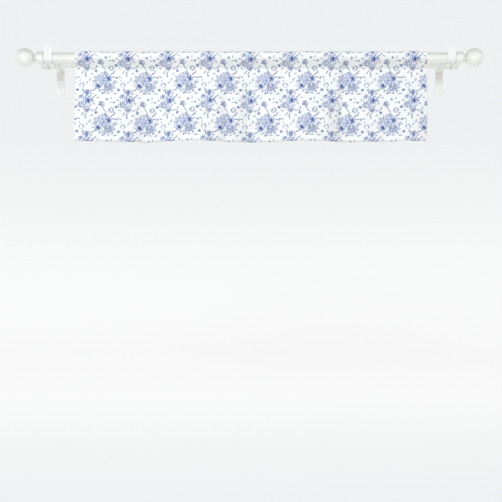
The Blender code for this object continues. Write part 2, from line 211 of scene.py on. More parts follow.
STROKES = (
    # pale washes under the two bunches
    Stroke(84, 107, 128, 27, 12, 0.0, 0.0, WASH),
    Stroke(105, 98, 78, 22, 12, 0.0, 0.0, WASH),
    Stroke(28, 54, 84, 24, 11, 0.0, 0.0, WASH),
    Stroke(27, 27, 115, 19, 10, 0.0, 0.0, WASH),
    # round the large bunch
    Stroke(120, 96, 78, 10, 3.4, 3.0, 0.5, SOFT),
    Stroke(124, 109, 20, 7, 3.2, 1.0, 0.3, PALE),
    Stroke(63, 112, 104, 12, 4.2, -3.0, 0.4, SOFT),
    Stroke(58, 99, 150, 9, 3.2, 1.0, 0.3, PALE),
    Stroke(88, 79, 8, 11, 3.6, -2.0, 0.4, SOFT),
    Stroke(116, 75, 40, 7, 2.6, 1.0, 0.3, SOFT),
    Stroke(96, 126, 20, 9, 3.4, 2.0, 0.4, SOFT),
    Stroke(59, 107, 168, 9, 3.0, 2.0, 0.5, LEAF),
    Stroke(62, 122, 142, 8, 2.6, -1.5, 0.6, LEAF),
    Stroke(92, 135, 75, 8, 3.6, 1.5, 0.3, LEAF),
    Stroke(84, 132, 120, 7, 2.2, 1.0, 0.0, LEAF),
    Stroke(116, 132, 32, 11, 1.9, 2.5, 0.0, TWIG),
    Stroke(122, 120, -14, 8, 1.5, -1.0, 0.0, TWIG),
    Stroke(122, 103, -35, 7, 2.8, 1.0, 0.5, LEAF),
    Stroke(121, 86, 20, 7, 3.0, 1.0, 0.4, LEAF),
    Stroke(115, 76, -50, 6, 2.2, 1.0, 0.2, LEAF),
    Stroke(92, 72, -70, 6, 2.2, 0.5, 0.0, LEAF),
    Stroke(76, 76, 50, 6, 1.8, 0.5, 0.0, TWIG),
    Stroke(55, 92, -14, 8, 1.2, 1.0, 0.0, LEAF),
    Stroke(60, 81, 30, 6, 1.8, 0.5, 0.0, LEAF),
    # round the small bunch
    Stroke(35, 70, 84, 12, 7.0, 0.0, 0.0, SOFT),
    Stroke(36, 69, 80, 10, 3.2, 0.6, 0.0, MIDDLE),
    Stroke(31, 74, 96, 8, 1.4, 0.8, 0.0, TWIG),
    Stroke(40, 76, 70, 7, 1.3, 0.8, 0.0, TWIG),
    Stroke(24, 48, 84, 10, 2.0, 1.5, 0.2, SOFT),
    Stroke(53, 49, 70, 9, 2.6, -1.5, 0.3, SOFT),
    Stroke(44, 28, 30, 9, 2.8, 1.5, 0.4, SOFT),
    Stroke(29, 33, 60, 8, 2.2, 1.0, 0.3, SOFT),
    Stroke(4, 27, 100, 8, 2.2, 1.0, 0.3, SOFT),
    Stroke(43, 58, 20, 7, 2.4, 1.0, 0.3, MIDDLE),
    Stroke(22, 80, 25, 5, 1.9, 0.5, 0.0, TWIG),
    Stroke(46, 74, 62, 6, 2.0, 0.5, 0.0, LEAF),
    Stroke(54, 78, 8, 5, 1.8, 0.5, 0.0, TWIG),
    Stroke(24, 75, 120, 6, 2.0, 0.5, 0.0, LEAF),
    Stroke(14, 57, 48, 10, 5.4, 0.0, 0.75, MIDDLE),
    Stroke(17, 59, 50, 5, 1.6, 0.0, 0.0, DARK),
    Stroke(2, 45, 155, 7, 2.2, 1.0, 0.3, LEAF),
    Stroke(27, 56, 20, 6, 3.0, 0.5, 0.4, SOFT),
    Stroke(55, 55, 25, 6, 1.8, 0.5, 0.0, LEAF),
    Stroke(57, 35, -38, 6, 2.4, 1.0, 0.3, LEAF),
    Stroke(53, 43, 5, 5, 1.6, 0.5, 0.0, TWIG),
    Stroke(49, 67, 35, 6, 2.0, 0.0, 0.0, LEAF),
    Stroke(21, 1, 52, 9, 1.6, 0.8, 0.0, TWIG),
    Stroke(30, -2, 54, 8, 1.6, 0.8, 0.0, TWIG),
    Stroke(51, 12, -25, 7, 2.2, 1.0, 0.2, LEAF),
    # stem and leaves of the single flower
    Stroke(90, 14, -55, 14, 1.3, -3.0, 0.0, TWIG),
    Stroke(97, -3, -35, 12, 3.8, 2.0, 0.5, LEAF),
    Stroke(84, -6, -60, 7, 2.4, 1.0, 0.3, LEAF),
    # loose leaves and twigs
    Stroke(31, 125, 84, 6, 2.4, 0.5, 0.0, LEAF),
    Stroke(44, 113, 66, 8, 3.2, 1.0, 0.7, LEAF),
    Stroke(35, 103, 60, 5, 1.9, 0.0, 0.0, LEAF),
    Stroke(50, 132, 20, 6, 1.6, 0.5, 0.0, TWIG),
    Stroke(8, 121, -18, 7, 1.9, 1.0, 0.0, LEAF),
    Stroke(-3, 105, -40, 6, 2.3, 0.5, 0.2, LEAF),
    Stroke(12, 110, 70, 4, 1.6, 0.5, 0.0, LEAF),
    Stroke(62, 61, 40, 6, 2.0, 0.5, 0.0, LEAF),
    Stroke(70, 54, -20, 6, 1.5, 0.5, 0.0, LEAF),
    Stroke(103, 69, -12, 7, 2.4, 1.0, 0.2, LEAF),
    Stroke(125, 67, 6, 8, 2.4, 0.8, 0.2, LEAF),
    Stroke(112, 52, 75, 5, 1.7, 0.5, 0.0, LEAF),
    Stroke(113, 39, 14, 8, 1.2, 0.8, 0.0, LEAF),
    Stroke(66, 20, 70, 6, 1.7, 0.5, 0.0, TWIG),
    Stroke(60, 14, -30, 5, 1.8, 0.5, 0.0, LEAF),
    Stroke(8, 12, -30, 6, 2.2, 0.5, 0.2, LEAF),
    Stroke(123, 4, 40, 6, 1.9, 0.5, 0.0, LEAF),
)
BLOOMS = (
    # the large bunch
    Bloom(79, 118, 10, 16.0, 7, 0.0, PALE, SOFT),
    Bloom(90, 104, 0, 9.0, 5, 0.0, PALE, MIDDLE),
    Bloom(103, 89, 0, 16.0, 9, 0.0, SOFT, LEAF),
    Bloom(105, 116, 20, 12.0, 5, 0.44, PALE, MIDDLE),
    Bloom(71, 92, 55, 12.0, 5, 0.46, PALE, MIDDLE),
    # the small bunch
    Bloom(17, 31, 0, 12.5, 8, 0.0, PALE, LEAF),
    Bloom(34, 16, 25, 12.5, 7, 0.0, PALE, LEAF),
    Bloom(39, 44, 15, 13.0, 6, 0.44, PALE, MIDDLE),
    # the single flower and two open rings
    Bloom(81, 33, 0, 10.5, 0, 0.0, SOFT, LEAF),
    Bloom(18, 95, 0, 10.0, 6, 0.0, PALE, LEAF),
    Bloom(18, 94, 0, 5.0, 0, 0.0, WHITE, WHITE),
    Bloom(112, 14, 0, 9.2, 0, 0.0, PALE, TWIG),
    # berries
    Bloom(4, 79, 0, 5.2, 0, 0.5, SOFT, MIDDLE),
    Bloom(129, 23, 0, 5.2, 0, 0.5, SOFT, MIDDLE),
    Bloom(64, 5, 0, 5.2, 0, 0.5, SOFT, MIDDLE),
    Bloom(99, 49, 0, 4.2, 0, 0.4, LEAF, TWIG),
    Bloom(86, 69, 0, 4.2, 0, 0.4, LEAF, MIDDLE),
    Bloom(122, 38, 0, 3.8, 0, 0.3, LEAF, TWIG),
    Bloom(131, 119, 0, 3.8, 0, 0.3, LEAF, TWIG),
    Bloom(25, 70, 0, 3.2, 0, 0.0, LEAF, LEAF),
)
# Pen strokes on top of the flowers
PEN_STROKES = (
    Stroke(77, 24, -20, 10, 3.6, -2.0, 0.0, WHITE),
    Stroke(85, 22, -55, 6, 1.3, 0.0, 0.0, TWIG),
    Stroke(76, 33, 50, 7, 1.8, 1.0, 0.0, TWIG),
    Stroke(82, 33, 60, 8, 1.2, 0.5, 0.0, TWIG),
    Stroke(87, 36, 52, 5, 2.2, 0.5, 0.0, WASH),
    Stroke(114, 15, 35, 5, 2.8, 2.0, 0.0, WHITE),
    Stroke(107, 14, 70, 5, 1.6, -1.5, 0.0, TWIG),
    Stroke(16, 31, 84, 7, 1.2, 0.5, 0.0, LEAF),
    Stroke(33, 17, 24, 5, 1.4, 1.0, 0.0, TWIG),
    Stroke(39, 19, 70, 5, 1.2, -1.0, 0.0, LEAF),
    Stroke(97, 121, 108, 8, 1.3, 1.5, 0.0, MIDDLE),
    Stroke(64, 86, 55, 6, 1.3, 1.0, 0.0, MIDDLE),
    Stroke(82, 97, 70, 7, 1.4, -1.0, 0.0, MIDDLE),
    Stroke(48, 50, 60, 6, 1.4, 1.0, 0.0, MIDDLE),
    Stroke(30, 50, 82, 8, 1.3, 1.5, 0.0, MIDDLE),
    Stroke(74, 124, 72, 6, 1.1, 0.5, 0.0, LEAF),
    Stroke(84, 121, 98, 6, 1.1, -0.5, 0.0, LEAF),
    Stroke(89, 112, 84, 9, 1.2, 1.0, 0.0, TWIG),
    Stroke(78, 108, 40, 5, 1.2, 0.5, 0.0, LEAF),
    Stroke(96, 93, 88, 8, 1.2, 0.5, 0.0, TWIG),
    Stroke(103, 88, 80, 9, 1.1, 0.5, 0.0, LEAF),
    Stroke(110, 92, 100, 7, 1.3, -0.5, 0.0, TWIG),
    Stroke(112, 83, 60, 4, 1.2, 0.5, 0.0, TWIG),
    Stroke(99, 77, 10, 6, 1.2, 0.8, 0.0, LEAF),
    Stroke(11, 32, 82, 8, 1.3, -1.5, 0.0, TWIG),
    Stroke(18, 36, 60, 6, 1.1, 0.5, 0.0, LEAF),
    Stroke(23, 28, 86, 6, 1.1, 1.0, 0.0, TWIG),
    Stroke(17, 23, 30, 5, 1.2, 0.5, 0.0, LEAF),
    Stroke(28, 19, 62, 5, 1.2, -1.0, 0.0, TWIG),
    Stroke(38, 12, 20, 6, 1.3, -1.0, 0.0, TWIG),
    Stroke(35, 8, -15, 6, 1.1, 1.0, 0.0, LEAF),
)


def linear(colour):
    """A colour of 0 to 255 as the light it stands for, with alpha."""
    shares = [value / 255 for value in colour]
    light = [c / 12.92 if c <= 0.04045 else ((c + 0.055) / 1.055) ** 2.4 for c in shares]
    return (*light, 1.0)


def hump(distance, spread):
    """A smooth hill: 1 at no distance, near 0 at two spreads."""
    return np.exp(-((distance / spread) ** 2))


def fold(x, drop):
    """How far the skirt leans towards the wall at x, for a drop of 0 at the seam to 1 at the hem."""
    growth = 0.08 + 0.92 * drop**1.2
    lean = growth * sum(wave.depth * hump(x - wave.centre, wave.spread) for wave in WAVES)
    for crease in CREASES:
        along = hump(drop - crease.middle, crease.reach)
        across = hump(x - crease.centre - crease.drift * drop, crease.spread)
        lean += crease.depth * along * across
    return lean


def ripple(x, wavelength):
    """A wave along the rod of uneven length and height, between -1 and 1."""
    turns = x / wavelength + 0.7 * np.sin(x / (1.3 * wavelength)) / math.pi
    height = 0.6 + 0.4 * np.sin(x / (0.62 * wavelength) + 2)
    return height * np.sin(2 * math.pi * turns)


def relief(x, below):
    """Small ripples on top of the folds, for a distance below the seam."""
    at_seam = SEAM_PUCKER * ripple(x, 0.021) * hump(below, 0.024)
    at_hem = HEM_PUCKER * ripple(x + 0.31, 0.029) * hump(below - DROP, 0.028)
    between = DRAPE_RIPPLE * ripple(x + 0.22 * below, 0.075) * np.sin(math.pi * below / DROP)
    return at_seam + at_hem + between


def middle_of_cloth(x, below):
    """The y and z of the skirt's front ply, half way through it."""
    share = below / DROP
    lean = fold(x, share)
    roll = HEM_ROLL * np.clip((below - DROP) / HEM_ROLL_HEIGHT + 1, 0, 1) ** 2
    y = ROD_Y + lean + relief(x, below) + roll
    z = SEAM_Z - np.sqrt(np.maximum(below**2 - (lean - fold(x, 0.0)) ** 2, 0))
    return y, z


def rounding(distance, thickness):
    """Share of the full thickness at this distance from a folded edge, so that the fold is round."""
    short_of = np.clip(1 - 2 * distance / thickness, 0, 1)
    return np.sqrt(np.maximum(1 - short_of**2, 0.05))


def half_width(places, share):
    """The valance's half width on each place's side, between the steps of its edge's insets."""
    steps = np.linspace(0, 1, len(LEFT_INSETS))
    left = np.interp(share, steps, LEFT_INSETS)
    right = np.interp(share, steps, RIGHT_INSETS)
    return HALF_WIDTH - np.where(places < 0, left, right)


def station_places():
    """Places across the width from -1 to 1: close together at the folded side edges and hem steps."""
    edge = [0, 0.0002, 0.0006, 0.0012, 0.005, 0.009]
    stitched = [SIDE_STITCH - 0.0015, SIDE_STITCH, SIDE_STITCH + 0.0015]
    side = HALF_WIDTH - np.array([*edge, 0.013, *stitched, SIDE_HEM, SIDE_HEM + STEP])
    count = round(2 * side[-1] / STATION_PITCH)
    inner = np.linspace(-side[-1], side[-1], count)[1:-1]
    return np.concatenate([-side, inner, side[::-1]]) / HALF_WIDTH


def skirt_rows():
    """Distances below the seam: close together at the seam, at the hem's stitches and at its fold."""
    at_seam = [0, 0.0007, 0.0015, 0.0027, POCKET_TURN_UNDER, POCKET_TURN_UNDER + STEP]
    stitched = HEM_STITCH + np.array([0.0015, 0.0007, 0, -0.0007, -0.0015])
    at_hem = DROP - np.array([HEM_HEIGHT + STEP, HEM_HEIGHT, *stitched])
    below_it = DROP - np.array([0.016, 0.011, 0.006, 0.002, 0.0012, 0.0006, 0.0002, 0])
    near = np.linspace(0.0065, 0.026, 9)
    far = np.linspace(0.031, at_hem[0] - 0.005, 30)
    return np.concatenate([at_seam, near, far, at_hem, below_it])


def side_hem_share(places):
    """1 where the side hem's second ply lies behind the cloth, else 0."""
    return (np.abs(places) * HALF_WIDTH >= HALF_WIDTH - SIDE_HEM - STEP / 4).astype(float)


def plies_behind(places, below):
    """How many more plies lie behind the front one."""
    turned = (below <= POCKET_TURN_UNDER + STEP / 4) * 2.0
    hemmed = (below >= DROP - HEM_HEIGHT - STEP / 4) * 1.0
    return turned + hemmed + side_hem_share(places)


def stitch_dent(x, below):
    """How far each face is drawn in along the lines of stitches."""
    depth = hump(below, 0.0013) + hump(DROP - below - HEM_STITCH, 0.0011)
    from_side = HALF_WIDTH - np.abs(x)
    return STITCH_DENT * np.minimum(depth + hump(from_side - SIDE_STITCH, 0.0011), 1)


# A line of points from one side edge to the other. The faces between it and the next row show the
# cloth from `start` to `end` metres above the seam; `back` rows show the reverse of the cloth.
Row = namedtuple("Row", "x y z start end back")


def skirt_faces(places, below):
    """The front and back rows of the skirt at this distance below the seam, as (x, y, z) arrays."""
    x = places * half_width(places, below / DROP)
    y, z = middle_of_cloth(x, below)
    behind = plies_behind(places, below)
    thickness = PLY * (1 + behind)
    from_side = HALF_WIDTH * (1 - np.abs(places))
    share = rounding(from_side, thickness) * rounding(DROP - below, thickness)
    middle = y + PLY * behind / 2
    dent = stitch_dent(x, below)
    front = middle - thickness * share / 2 + dent
    back = middle + thickness * share / 2 - dent / 2
    return (x, front, z), (x, back, z)


def pocket_path(places):
    """Middle points of the pocket's ply from the seam's front round the rod to the seam's back.

    Returns x and lists of (y, z, outward y, outward z, distance from the seam), one item a row.
    """
    x = places * half_width(places, 0.0)
    hem = side_hem_share(places) * PLY
    lift = sum(pucker.lift * hump(x - pucker.centre, pucker.spread) for pucker in PUCKERS)
    lift = lift + 0.0003 * (1 + ripple(x + 0.1, 0.047))
    radius = ROD_RADIUS + GAP + PLY / 2 + hem / 2 + lift / 2
    centre_z = ROD_Z + lift / 2
    seam_y, _ = middle_of_cloth(x, 0.0)
    front_angle, front_reach = tangent(centre_z, radius, seam_y, -1)
    back_angle, back_reach = tangent(centre_z, radius, seam_y + 1.5 * PLY, 1)
    turn = front_angle - back_angle
    path = []
    for share in np.linspace(0, 1, POCKET_SIDE_ROWS + 1)[1:-1] ** 1.4:
        path.append(side_point(seam_y, centre_z, radius, front_angle, front_reach, share, x))
    for share in np.linspace(0, 1, ARC_ROWS):
        angle = front_angle - turn * share
        out_y, out_z = np.cos(angle), np.sin(angle)
        y, z = ROD_Y + radius * out_y, centre_z + radius * out_z
        path.append((y, z, out_y, out_z, front_reach + radius * turn * share))
    whole = front_reach + radius * turn + back_reach
    for share in np.linspace(1, 0, POCKET_SIDE_ROWS + 1)[1:-1] ** 1.4:
        y, z, out_y, out_z, along = side_point(
            seam_y + 1.5 * PLY, centre_z, radius, back_angle, back_reach, share, x
        )
        path.append((y, z, out_y, out_z, whole - along))
    return x, path, whole


def tangent(centre_z, radius, seam_y, side):
    """Angle of the point where the ply from the seam touches its round, and its distance."""
    away_y, away_z = seam_y - ROD_Y, SEAM_Z - centre_z
    distance = np.hypot(away_y, away_z)
    opening = np.arccos(radius / distance)
    down = np.arctan2(away_z, away_y)
    reach = np.sqrt(distance**2 - radius**2)
    if side < 0:
        return down - opening + 2 * math.pi, reach
    return down + opening, reach


def side_point(seam_y, centre_z, radius, angle, reach, share, x):
    """A point of the pocket's flat side, this share of the way from the seam to the rod's round."""
    out_y, out_z = np.cos(angle), np.sin(angle)
    pucker = SEAM_PUCKER * ripple(x, 0.021) * hump(share * reach, 0.012)
    y = seam_y + (ROD_Y + radius * out_y - seam_y) * share + pucker * np.sign(out_y)
    z = SEAM_Z + (centre_z + radius * out_z - SEAM_Z) * share
    return y, z, out_y, out_z, reach * share


def cloth_rows(places):
    """The rows round the outside of the cloth, and those round the inside of its pocket."""
    drops = skirt_rows()
    fronts, backs = zip(*(skirt_faces(places, below) for below in drops))
    x, path, whole = pocket_path(places)
    thickness = PLY * (1 + side_hem_share(places))
    half = thickness / 2 * rounding(HALF_WIDTH * (1 - np.abs(places)), thickness)
    outside = []
    for i in range(len(drops) - 1, 0, -1):
        outside.append(Row(*fronts[i], -drops[i], -drops[i - 1], False))
    along = [0.0, *(point[4] for point in path), whole]
    outside.append(Row(*fronts[0], along[0], along[1], False))
    inside = []
    for i, (y, z, out_y, out_z, _) in enumerate(path, start=1):
        outside.append(Row(x, y + out_y * half, z + out_z * half, along[i], along[i + 1], False))
        inside.append(Row(x, y - out_y * half, z - out_z * half, along[i], along[i + 1], True))
    under = whole + POCKET_TURN_UNDER
    for i in range(len(drops) - 1):
        outside.append(back_row(backs[i], drops[i], drops[i + 1], whole, under))
    outside.append(Row(*backs[-1], -DROP, -DROP, False))
    seam_y = (fronts[0][1] + backs[0][1]) / 2
    inside.insert(0, Row(x, seam_y, np.full_like(x, SEAM_Z + PLY), 0.0, along[1], True))
    return outside, inside


def back_row(place, below, following, whole, under):
    """A row of the skirt's back: the pocket's turned-under end, the bare back, or the bottom hem."""
    if following <= POCKET_TURN_UNDER:
        return Row(*place, whole + below, whole + following, False)
    if below <= POCKET_TURN_UNDER:
        return Row(*place, under, under, False)
    if below < DROP - HEM_HEIGHT - STEP / 2:
        return Row(*place, -below, -following, True)
    return Row(*place, below - 2 * DROP, following - 2 * DROP, False)


def ring_mesh(rows, first_index, hemmed):
    """Faces, cloth places of their corners and looks of the closed band that the rows make."""
    count = len(rows[0].x)
    stations = np.arange(count - 1)
    faces, places, looks = [], [], []
    for i, row in enumerate(rows):
        here = first_index + i * count + stations
        there = first_index + (i + 1) % len(rows) * count + stations
        faces.append(np.stack([here, there, there + 1, here + 1], axis=1))
        following = rows[(i + 1) % len(rows)]
        start = np.broadcast_to(row.start, count)
        end = np.broadcast_to(row.end, count)
        corners = [
            (row.x[:-1], start[:-1]),
            (following.x[:-1], end[:-1]),
            (following.x[1:], end[1:]),
            (row.x[1:], start[1:]),
        ]
        side_ply = hemmed & row.back
        edge = np.sign(row.x[:-1]) * 2 * HALF_WIDTH
        for along, above in corners:
            places.append(np.stack([np.where(side_ply, edge - along, along), above], axis=1))
        looks.append(np.where(row.back & ~hemmed, 1, 0))
    corner_places = np.stack(places).reshape(len(rows), 4, count - 1, 2).transpose(0, 2, 1, 3)
    return np.concatenate(faces), corner_places.reshape(-1, 2), np.concatenate(looks)


def end_faces(outside, inside, station, count):
    """Faces that close one side edge: down the skirt, at the seam and round the pocket."""
    drops = len(skirt_rows())
    steps = len(inside) - 1
    outer = [i * count + station for i in range(len(outside))]
    inner = [(len(outside) + i) * count + station for i in range(len(inside))]
    front = outer[:drops][::-1]
    back = outer[drops + steps:]
    faces = [(front[i], front[i + 1], back[i + 1], back[i]) for i in range(drops - 1)]
    around = [front[0], *outer[drops:drops + steps], back[0]]
    within = [*inner, inner[0]]
    faces += [(around[i], around[i + 1], within[i + 1], within[i]) for i in range(steps + 1)]
    faces.append((around[0], around[-1], inner[0]))
    return faces


def add_piece(name, data, material_slot, *nodes):
    """An object of this mesh that rides with the whole and stands for the named solids."""
    obj = bpy.data.objects.new(name, data)
    bpy.context.scene.collection.objects.link(obj)
    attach(obj, "root")
    if nodes:
        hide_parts(*nodes)
    return obj


def outward(data):
    """Turns the mesh's faces outwards and makes them smooth where they are nearly level."""
    bm = bmesh.new()
    bm.from_mesh(data)
    bmesh.ops.recalc_face_normals(bm, faces=bm.faces)
    bm.to_mesh(data)
    bm.free()
    data.shade_smooth()
    data.set_sharp_from_angle(angle=math.radians(48))


def build_cloth(printed, reverse):
    """The valance as one closed sheet, with a map of each face's place on the flat cloth."""
    places = station_places()
    outside, inside = cloth_rows(places)
    count = len(places)
    at_hem = side_hem_share(places)
    hemmed = (at_hem[:-1] + at_hem[1:]) > 1.5
    verts = np.concatenate([np.stack([row.x, row.y, row.z], axis=1) for row in outside + inside])
    outer_faces, outer_places, outer_looks = ring_mesh(outside, 0, hemmed)
    inner_faces, inner_places, inner_looks = ring_mesh(inside, len(outside) * count, hemmed)
    faces = [*outer_faces.tolist(), *inner_faces.tolist()]
    corner_places = [*outer_places.tolist(), *inner_places.tolist()]
    looks = [*outer_looks.tolist(), *inner_looks.tolist()]
    for station in (0, count - 1):
        for face in end_faces(outside, inside, station, count):
            faces.append(face)
            looks.append(0)
            corner_places += [(verts[i][0], verts[i][2] - SEAM_Z) for i in face]
    data = bpy.data.meshes.new("valance_cloth")
    data.from_pydata(verts.tolist(), [], faces)
    data.polygons.foreach_set("material_index", looks)
    layer = data.uv_layers.new(name="cloth")
    layer.data.foreach_set("uv", np.array(corner_places, np.float32).ravel())
    data.materials.append(printed)
    data.materials.append(reverse)
    outward(data)
    return add_piece("valance_cloth", data, "printed_cloth", "valance")


def thread_stitch(start, end, verts, faces):
    """One stitch: a slim round thread from start to end that dips into the cloth at both ends."""
    start, end = np.array(start), np.array(end)
    along = (end - start) / np.linalg.norm(end - start)
    across = np.cross(along, (0.0, 0.0, 1.0) if abs(along[2]) < 0.7 else (1.0, 0.0, 0.0))
    across /= np.linalg.norm(across)
    up = np.cross(along, across)
    base = len(verts)
    verts.append(start)
    for share, girth in ((0.12, 0.75), (0.5, 1.0), (0.88, 0.75)):
        for side in range(THREAD_SIDES):
            angle = 2 * math.pi * side / THREAD_SIDES
            reach = THREAD_RADIUS * girth
            offset = across * (reach * math.cos(angle)) + up * (reach * math.sin(angle))
            verts.append(start + (end - start) * share + offset)
    verts.append(end)
    for side in range(THREAD_SIDES):
        following = (side + 1) % THREAD_SIDES
        faces.append((base, base + 1 + side, base + 1 + following))
        for ring in range(2):
            low = base + 1 + ring * THREAD_SIDES
            high = low + THREAD_SIDES
            faces.append((low + side, high + side, high + following, low + following))
        last = base + 1 + 2 * THREAD_SIDES
        faces.append((last + side, len(verts) - 1, last + following))


def stitch_ends(first, last):
    """Where each stitch of a line starts and ends, from first to last."""
    count = int((last - first) / STITCH_PITCH)
    starts = first + (last - first - STITCH_LENGTH) * np.linspace(0, 1, count)
    return [(start, start + STITCH_LENGTH) for start in starts]


def on_cloth(x, below, side):
    """The cloth's front (-1) or back (1) face at this place."""
    place = np.array([x / half_width(np.array(x), below / DROP)])
    faces = skirt_faces(place, below)
    found = faces[0] if side < 0 else faces[1]
    return [float(found[0][0]), float(found[1][0]), float(found[2][0])]


def build_stitching(material):
    """Lines of thread stitches on both faces: along the seam, the bottom hem and the side hems."""
    verts, faces = [], []
    for below in (0.0, DROP - HEM_STITCH):
        widest = HALF_WIDTH - SIDE_STITCH - max(LEFT_INSETS)
        for start, end in stitch_ends(-widest, widest):
            for side in (-1, 1):
                thread_stitch(on_cloth(start, below, side), on_cloth(end, below, side), verts, faces)
    for sign in (-1, 1):
        for start, end in stitch_ends(0.004, DROP - HEM_STITCH - 0.002):
            for side in (-1, 1):
                ends = []
                for below in (start, end):
                    edge = half_width(np.array(float(sign)), below / DROP)
                    ends.append(on_cloth(sign * float(edge - SIDE_STITCH), below, side))
                thread_stitch(*ends, verts, faces)
    data = bpy.data.meshes.new("valance_stitching")
    data.from_pydata([tuple(vert) for vert in verts], [], faces)
    data.materials.append(material)
    outward(data)
    return add_piece("valance_stitching", data, "printed_cloth")


def arc(centre, radius, start, end, steps):
    """Points of a circle's arc, both ends included, for angles in radians."""
    angles = [start + (end - start) * i / steps for i in range(steps + 1)]
    return [(centre[0] + radius * math.cos(a), centre[1] + radius * math.sin(a)) for a in angles]


def finial_profile():
    """Socket, sleeve with a soft front edge and a domed shoulder, turned neck and ball."""
    bore = ROD_RADIUS + GAP
    shoulder_height = SLEEVE_RADIUS - NECK_RADIUS - 0.001
    shoulder = []
    for turn in range(0, 91, 6):
        angle = math.radians(turn)
        x = SLEEVE_STRAIGHT + (SLEEVE_LENGTH - SLEEVE_STRAIGHT) * math.sin(angle)
        shoulder.append((x, SLEEVE_RADIUS - shoulder_height * (1 - math.cos(angle))))
    ball_start = math.pi - math.asin(NECK_RADIUS / BALL_RADIUS)
    ball = arc((BALL_CENTRE, 0), BALL_RADIUS, ball_start, 0, 40)
    lip = arc((EDGE, SLEEVE_RADIUS - EDGE), EDGE, math.pi, math.pi / 2, 4)
    neck = [(SLEEVE_LENGTH + 0.0008, NECK_RADIUS + 0.0003), (SLEEVE_LENGTH + 0.0016, NECK_RADIUS)]
    socket = [(FINIAL_SOCKET, 0), (FINIAL_SOCKET, bore), (0, bore)]
    return [*socket, *lip, *shoulder, *neck, *ball[:-1], (BALL_CENTRE + BALL_RADIUS, 0)]


def cap_profile():
    """Socket and sleeve with a soft front edge and a rounded end."""
    bore = (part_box("rear_rod")[1].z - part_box("rear_rod")[0].z) / 2 + GAP
    lip = arc((EDGE, CAP_RADIUS - EDGE), EDGE, math.pi, math.pi / 2, 4)
    corner = (CAP_LENGTH - CAP_ROUNDING, CAP_RADIUS - CAP_ROUNDING)
    rounded = arc(corner, CAP_ROUNDING, math.pi / 2, 0, 12)
    socket = [(CAP_SOCKET, 0), (CAP_SOCKET, bore), (0, bore)]
    return [*socket, *lip, *rounded, (CAP_LENGTH, 0)]


def build_turned(node, profile, start_x, material):
    """A turned end in place of this solid, on its rod's axis and on its side of the middle."""
    low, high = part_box(node)
    axis_y, axis_z = (low.y + high.y) / 2, (low.z + high.z) / 2
    sign = math.copysign(1, low.x)
    bm = bmesh.new()
    verts = [bm.verts.new((x, 0, radius)) for x, radius in profile]
    edges = [bm.edges.new(pair) for pair in zip(verts, verts[1:])]
    bmesh.ops.spin(
        bm,
        geom=verts + edges,
        cent=(0, 0, 0),
        axis=(1, 0, 0),
        angle=2 * math.pi,
        steps=TURNED_SIDES,
        use_merge=True,
    )
    bmesh.ops.remove_doubles(bm, verts=bm.verts, dist=1e-6)
    for vert in bm.verts:
        vert.co = (sign * (start_x + vert.co.x), axis_y + vert.co.y, axis_z + vert.co.z)
    data = bpy.data.meshes.new(f"{node}_turned")
    bm.to_mesh(data)
    bm.free()
    data.materials.append(material)
    outward(data)
    return add_piece(f"{node}_turned", data, "ivory_enamel", node)


class Tree:
    """Adds nodes to one node tree and wires them up as they are made."""

    def __init__(self, tree):
        self.tree = tree

    def put(self, socket, value):
        if isinstance(value, bpy.types.NodeSocket):
            self.tree.links.new(value, socket)
        else:
            socket.default_value = value

    def node(self, kind, inputs, **settings):
        made = self.tree.nodes.new(kind)
        for name, value in settings.items():
            setattr(made, name, value)
        for socket, value in dict(inputs).items():
            self.put(made.inputs[socket], value)
        return made

    def maths(self, operation, *values):
        return self.node("ShaderNodeMath", enumerate(values), operation=operation).outputs[0]

    def vector(self, operation, *values):
        made = self.node("ShaderNodeVectorMath", enumerate(values), operation=operation)
        return made.outputs[1 if operation == "LENGTH" else 0]

    def smooth(self, value, low, high, start=0.0, end=1.0):
        """A soft step from start to end as the value goes from low to high."""
        inputs = {0: value, 1: low, 2: high, 3: start, 4: end}
        settings = {"interpolation_type": "SMOOTHSTEP", "clamp": True}
        return self.node("ShaderNodeMapRange", inputs, **settings).outputs[0]

    def mix(self, share, under, over):
        inputs = {0: share, 6: under, 7: over}
        return self.node("ShaderNodeMix", inputs, data_type="RGBA").outputs[2]

    def noise(self, vector, scale, detail=2.0):
        inputs = {"Vector": vector, "Scale": scale, "Detail": detail}
        return self.node("ShaderNodeTexNoise", inputs).outputs["Fac"]


def group(name, inputs, outputs):
    """A new node group: its Tree, its input sockets by name, and its output node."""
    tree = bpy.data.node_groups.new(name, "ShaderNodeTree")
    for socket, kind in inputs.items():
        tree.interface.new_socket(name=socket, in_out="INPUT", socket_type=f"NodeSocket{kind}")
    for socket, kind in outputs.items():
        tree.interface.new_socket(name=socket, in_out="OUTPUT", socket_type=f"NodeSocket{kind}")
    entry = tree.nodes.new("NodeGroupInput")
    return Tree(tree), entry.outputs, tree.nodes.new("NodeGroupOutput")


MOTIF_SOCKETS = {"Under": "Color", "Point": "Vector", "Centre": "Vector", "Turn": "Float"}


def motif_axes(tree, given):
    """Place from a motif's centre, turned with it, in the nearest repeat of the print.

    The point takes in a trace of the colour under the motif, too small to see. It makes the renderer
    work the motifs out one after another, so that it never holds the values of many at once.
    """
    half = (REPEAT[0] / 2, REPEAT[1] / 2, 1.0)
    point = tree.vector("MULTIPLY_ADD", given["Under"], (1e-7, 1e-7, 0.0), given["Point"])
    away = tree.vector("SUBTRACT", point, given["Centre"])
    nearest = tree.vector("WRAP", away, half, tuple(-size for size in half))
    inputs = {"Vector": nearest, "Angle": given["Turn"]}
    return tree.node("ShaderNodeVectorRotate", inputs, rotation_type="Z_AXIS").outputs[0]


